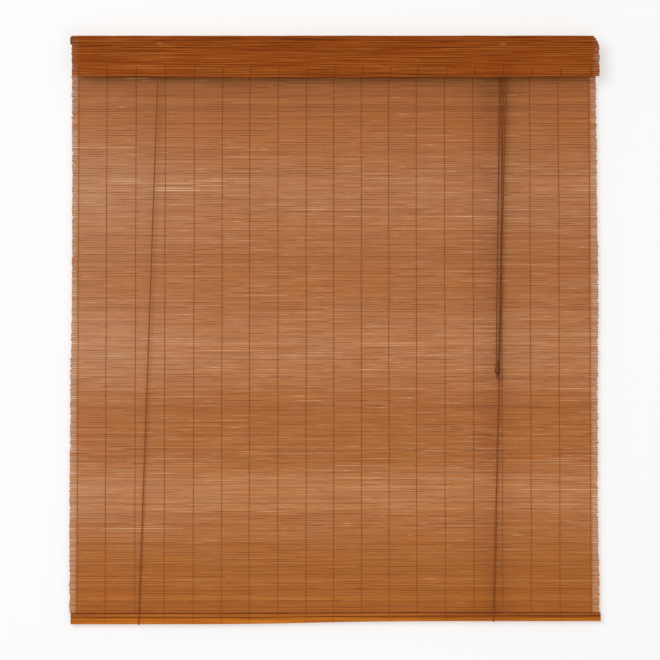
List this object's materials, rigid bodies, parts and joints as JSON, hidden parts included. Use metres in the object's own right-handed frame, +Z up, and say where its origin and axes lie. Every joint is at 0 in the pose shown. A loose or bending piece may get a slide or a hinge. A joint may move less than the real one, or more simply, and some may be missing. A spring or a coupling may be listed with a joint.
{
  "type": "bamboo roll up blind",
  "caption": "Woven bamboo reed roll up blind with a short reed valance, cord loops round a bottom lath, and pull cords that end in a small bell.",
  "frame": {"origin": "middle of the headrail's top face, between its two screw holes", "axes": "X along the headrail, -Y towards the room, Z up"},
  "size_m": [0.9055, 0.0394, 1.0021],
  "materials": {
    "bamboo_reed": "varnished, satin",
    "bamboo_lath": "varnished, satin",
    "pine": "sawn and sanded",
    "binding_thread": "twisted cotton",
    "lift_cord": "braided cord",
    "zinc_steel": "zinc plated",
    "sheave_plastic": "moulded",
    "turned_wood": "stained"
  },
  "bodies": {
    "rail": {"headrail": "pine", "top_lath": "bamboo_lath", "mat": "bamboo_reed", "valance": "bamboo_reed", "mat_threads": "binding_thread", "valance_threads": "binding_thread", "mat_staples": "zinc_steel", "anchor_staples": "zinc_steel", "valance_nails": "zinc_steel", "pulley_screws": "zinc_steel", "anchor_knots": "lift_cord", "left_lift_cord": "lift_cord", "right_lift_cord": "lift_cord", "cross_cord": "lift_cord", "left_pull_cord": "lift_cord", "right_pull_cord": "lift_cord", "left_pulley_bracket": "zinc_steel", "left_axle": "zinc_steel", "front_pulley_bracket": "zinc_steel", "front_axle": "zinc_steel", "rear_pulley_bracket": "zinc_steel", "rear_axle": "zinc_steel"},
    "hem": {"bottom_lath": "bamboo_lath", "hem_strip": "bamboo_lath"},
    "pull": {"bell_pull": "turned_wood", "pull_knot": "lift_cord"},
    "left_wheel": {"left_sheave": "sheave_plastic"},
    "front_wheel": {"front_sheave": "sheave_plastic"},
    "rear_wheel": {"rear_sheave": "sheave_plastic"}
  },
  "joints": [
    {"name": "lift", "type": "slide", "parent": "rail", "child": "hem", "axis": [0, 0, 1], "range_m": [0, 0.85], "deforming": ["mat", "mat_threads", "left_lift_cord", "right_lift_cord"]},
    {"name": "pull_drop", "type": "slide", "parent": "rail", "child": "pull", "axis": [0, 0, -1], "range_m": [0, 1.7], "deforming": ["left_pull_cord", "right_pull_cord"]},
    {"name": "left_spin", "type": "hinge", "parent": "rail", "child": "left_wheel", "pos_m": [-0.296, -0.007, -0.041], "axis": [0, 1, 0], "continuous": true},
    {"name": "front_spin", "type": "hinge", "parent": "rail", "child": "front_wheel", "pos_m": [0.2846, -0.007, -0.041], "axis": [0, 1, 0], "continuous": true},
    {"name": "rear_spin", "type": "hinge", "parent": "rail", "child": "rear_wheel", "pos_m": [0.2894, 0.004, -0.041], "axis": [0, 1, 0], "continuous": true}
  ],
  "couplings": [
    {"joint": "pull_drop", "follows": "lift", "ratio": 2},
    {"joint": "left_spin", "follows": "lift", "rad_per_m": 363.64},
    {"joint": "front_spin", "follows": "lift", "rad_per_m": 363.64},
    {"joint": "rear_spin", "follows": "lift", "rad_per_m": -363.64}
  ]
}
